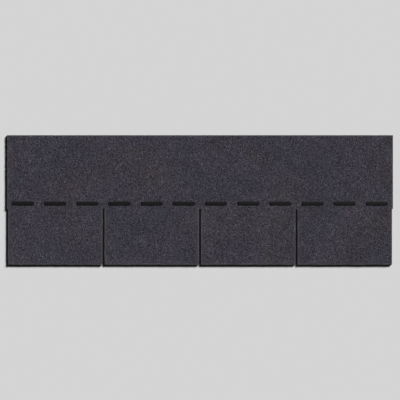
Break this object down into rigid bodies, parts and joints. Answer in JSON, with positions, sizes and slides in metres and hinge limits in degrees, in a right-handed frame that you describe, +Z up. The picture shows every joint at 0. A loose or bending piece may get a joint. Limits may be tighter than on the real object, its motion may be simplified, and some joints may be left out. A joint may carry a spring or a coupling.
{
  "type": "asphalt strip shingle",
  "caption": "Flat asphalt strip shingle with a granule face, square tabs cut by narrow slots, sealant dashes and a release film on the back, lapped in courses to cover a roof.",
  "frame": {"origin": "middle of the strip's underside", "axes": "+X along the strip, +Y from the tabs to the headlap, +Z up out of the granule face"},
  "size_m": [1, 0.336, 0.0038],
  "materials": {
    "granule_coat": "matte",
    "sealant": "gloss",
    "film": "gloss"
  },
  "bodies": {
    "root": {"shingle_sheet": "granule_coat", "sealant_dashes": "sealant", "release_film": "film"}
  },
  "joints": []
}
